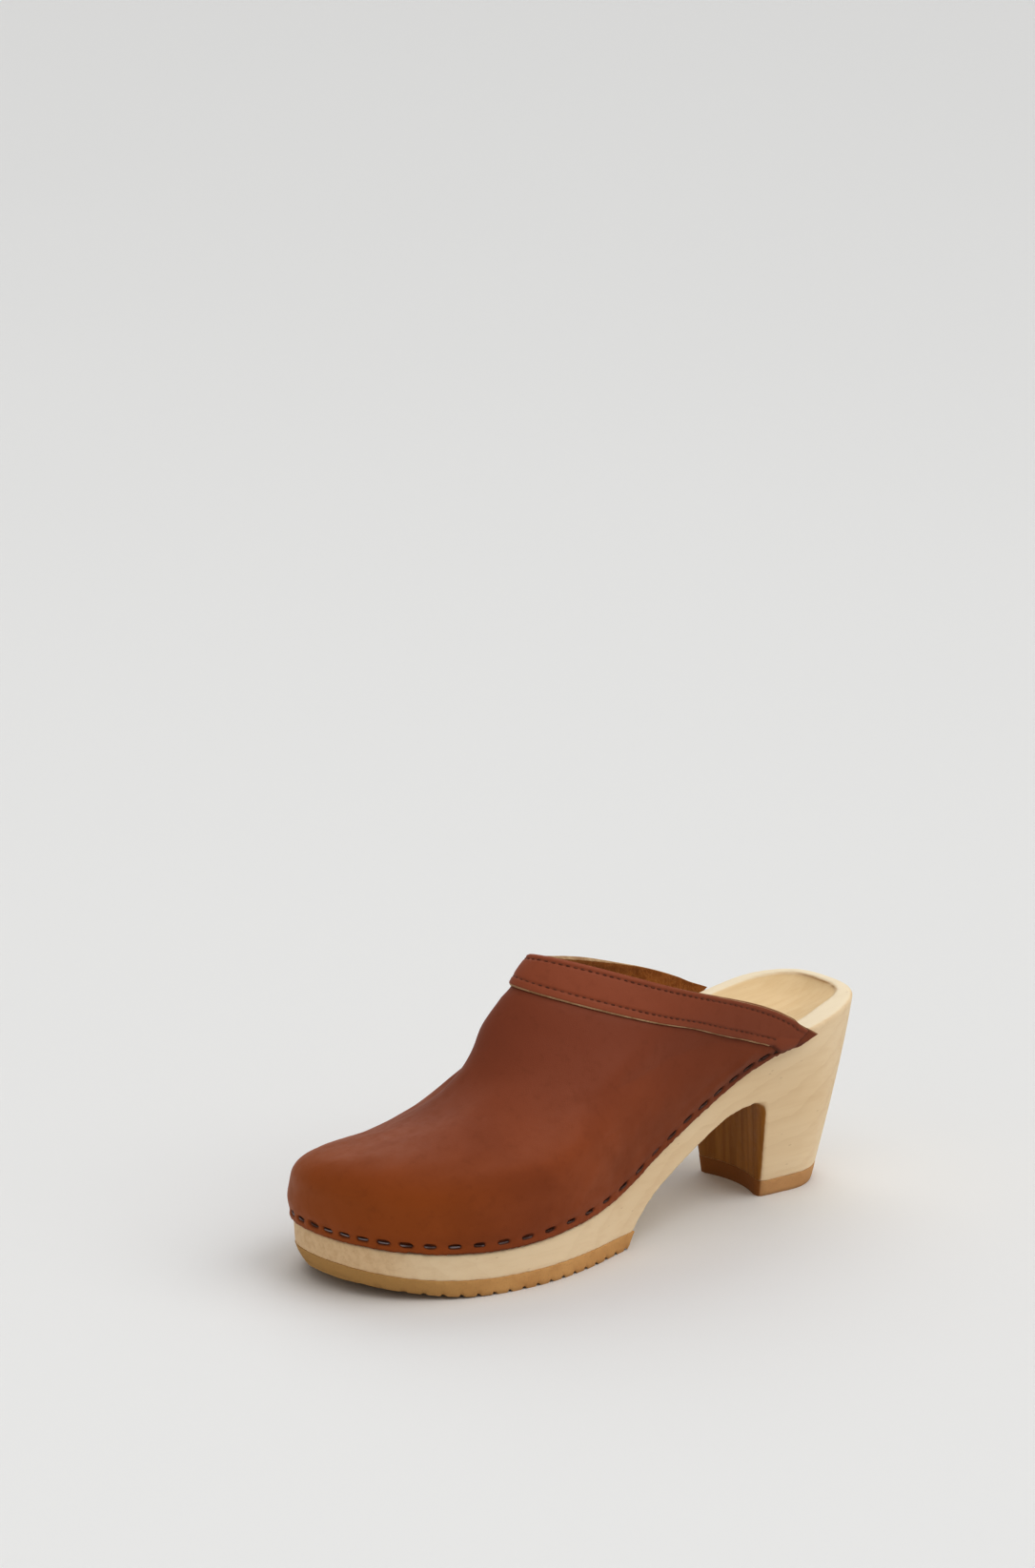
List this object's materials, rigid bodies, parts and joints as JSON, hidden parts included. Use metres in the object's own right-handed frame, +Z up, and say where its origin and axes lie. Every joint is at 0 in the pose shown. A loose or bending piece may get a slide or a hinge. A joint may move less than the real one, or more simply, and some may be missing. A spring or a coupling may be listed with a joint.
{
  "type": "heeled clog",
  "caption": "Heeled platform clog for the left foot: dished wooden sole with an arched waist and block heel, stapled leather upper, open back and a sewn collar band.",
  "frame": {"origin": "On the floor, under the middle of the clog's outer box.", "axes": "+X is the outer (little toe) side of this left clog, +Y runs from the toe to the heel, +Z is up."},
  "size_m": [0.0966, 0.244, 0.1082],
  "materials": {
    "sole_wood": "fine sanded pale alder, clear matt",
    "upper_leather": "smooth waxed red-brown hide, suede inside",
    "band_leather": "smooth waxed red-brown hide with raw tan edges",
    "front_rubber": "matt tan crepe with a ribbed lower edge",
    "heel_rubber": "matt tan rubber",
    "staple_wire": "dull bronze-brown wire",
    "thread": "dark brown waxed thread"
  },
  "bodies": {
    "root": {"wooden_sole": "sole_wood", "leather_upper": "upper_leather", "collar_band": "band_leather", "front_outsole": "front_rubber", "heel_top_lift": "heel_rubber", "stitching_top": "thread", "stitching_lower": "thread", "staple_01": "staple_wire", "staple_02": "staple_wire", "staple_03": "staple_wire", "staple_04": "staple_wire", "staple_05": "staple_wire", "staple_06": "staple_wire", "staple_07": "staple_wire", "staple_08": "staple_wire", "staple_09": "staple_wire", "staple_10": "staple_wire", "staple_11": "staple_wire", "staple_12": "staple_wire", "staple_13": "staple_wire", "staple_14": "staple_wire", "staple_15": "staple_wire", "staple_16": "staple_wire", "staple_17": "staple_wire", "staple_18": "staple_wire", "staple_19": "staple_wire", "staple_20": "staple_wire", "staple_21": "staple_wire", "staple_22": "staple_wire", "staple_23": "staple_wire", "staple_24": "staple_wire", "staple_25": "staple_wire", "staple_26": "staple_wire", "staple_27": "staple_wire", "staple_28": "staple_wire", "staple_29": "staple_wire", "staple_30": "staple_wire", "staple_31": "staple_wire", "staple_32": "staple_wire", "staple_33": "staple_wire", "staple_34": "staple_wire", "staple_35": "staple_wire", "staple_36": "staple_wire", "staple_37": "staple_wire", "staple_38": "staple_wire", "staple_39": "staple_wire", "staple_40": "staple_wire", "staple_41": "staple_wire", "staple_42": "staple_wire", "staple_43": "staple_wire", "staple_44": "staple_wire", "staple_45": "staple_wire", "staple_46": "staple_wire", "staple_47": "staple_wire", "staple_48": "staple_wire", "staple_49": "staple_wire", "staple_50": "staple_wire", "staple_51": "staple_wire"}
  },
  "joints": []
}
